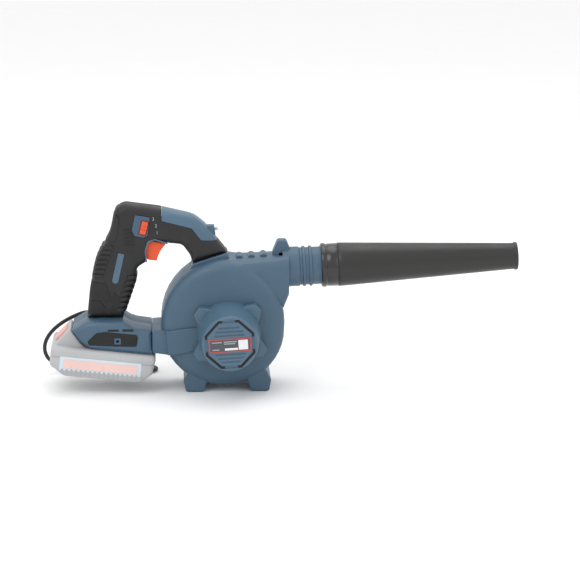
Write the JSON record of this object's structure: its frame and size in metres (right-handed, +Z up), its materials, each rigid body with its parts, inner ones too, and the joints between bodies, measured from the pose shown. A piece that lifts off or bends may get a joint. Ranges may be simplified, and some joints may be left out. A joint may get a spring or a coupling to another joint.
{
  "type": "leaf blower",
  "caption": "Cordless hand-held leaf blower with a round fan housing, side motor, pistol grip, tapered nozzle, slide-on battery and wrist strap.",
  "frame": {"origin": "middle of the blower's underside, the strap apart, on the plane its feet stand on", "axes": "+X towards the nozzle's tip, +Y away from the motor cover, +Z up"},
  "size_m": [0.5405, 0.164, 0.2123],
  "materials": {
    "steel_blue_plastic": "satin moulded plastic",
    "black_plastic": "fine textured plastic",
    "nozzle_plastic": "satin plastic",
    "orange_plastic": "satin plastic",
    "black_rubber": "matt soft rubber",
    "steel": "plain steel",
    "bronze": "sintered bronze and copper",
    "dark_iron": "laminated iron and ferrite",
    "fan_plastic": "glass-filled plastic",
    "name_plate_print": "printed foil without lettering",
    "pack_grey": "moulded plastic",
    "latch_red": "moulded plastic",
    "label_red": "printed foil without lettering",
    "cell_wrap": "shrink wrap",
    "strap_cord": "braided cord"
  },
  "bodies": {
    "frame": {"housing_near": "steel_blue_plastic", "housing_far": "steel_blue_plastic", "motor_cover": "steel_blue_plastic", "handle_cover": "steel_blue_plastic", "base_near": "steel_blue_plastic", "base_far": "steel_blue_plastic", "bezel_near": "steel_blue_plastic", "bezel_far": "steel_blue_plastic", "inlay_near": "steel_blue_plastic", "inlay_far": "steel_blue_plastic", "switch_plate": "steel_blue_plastic", "handle_near": "black_plastic", "handle_far": "black_plastic", "switch_module": "black_plastic", "intake_grille": "black_plastic", "end_bell": "black_plastic", "terminal_block": "black_plastic", "side_pad_near": "black_rubber", "side_pad_far": "black_rubber", "motor_can": "steel", "motor_mount": "steel", "front_bearing": "steel", "lug_screw": "steel", "housing_screw_1": "steel", "housing_screw_2": "steel", "housing_screw_3": "steel", "cover_screw_1": "steel", "cover_screw_2": "steel", "cover_screw_3": "steel", "cover_screw_4": "steel", "handle_screw_1": "steel", "handle_screw_2": "steel", "base_screw_1": "steel", "base_screw_2": "steel", "rear_bush": "bronze", "magnet_upper": "dark_iron", "magnet_lower": "dark_iron", "brush_front": "dark_iron", "brush_rear": "dark_iron", "name_plate": "name_plate_print", "wrist_strap": "strap_cord"},
    "rotor": {"motor_shaft": "steel", "armature": "dark_iron", "commutator": "bronze", "impeller": "fan_plastic", "impeller_nut": "steel"},
    "nozzle_set": {"nozzle": "nozzle_plastic", "nozzle_collar": "nozzle_plastic"},
    "trigger_body": {"trigger": "orange_plastic"},
    "rocker_body": {"speed_rocker": "orange_plastic"},
    "battery": {"pack_upper": "pack_grey", "pack_lower": "pack_grey", "pack_label_near": "label_red", "pack_label_far": "label_red", "cell_1": "cell_wrap", "cell_2": "cell_wrap", "cell_3": "cell_wrap", "cell_4": "cell_wrap", "cell_5": "cell_wrap"},
    "latch_body": {"latch_button": "latch_red"}
  },
  "joints": [
    {"name": "impeller_spin", "type": "hinge", "parent": "frame", "child": "rotor", "pos_m": [-0.06366, 0.02145, 0.07], "axis": [0, 1, 0], "continuous": true},
    {"name": "nozzle_pull", "type": "slide", "parent": "frame", "child": "nozzle_set", "axis": [0.9993, 0, 0.0366], "range_m": [0, 0.06]},
    {"name": "trigger_pull", "type": "slide", "parent": "frame", "child": "trigger_body", "axis": [-0.9903, 0, 0.1392], "range_m": [0, 0.006], "stiffness_N_per_m": 1200},
    {"name": "speed_select", "type": "hinge", "parent": "frame", "child": "rocker_body", "pos_m": [-0.15707, 0.00795, 0.1866], "axis": [0.9703, 0, -0.2419], "range_deg": [-8, 8]},
    {"name": "battery_slide", "type": "slide", "parent": "frame", "child": "battery", "axis": [-0.9938, 0, 0.1115], "range_m": [0, 0.09]},
    {"name": "battery_latch", "type": "slide", "parent": "battery", "child": "latch_body", "axis": [0.7022, 0, -0.712], "range_m": [0, 0.0025], "stiffness_N_per_m": 800}
  ]
}
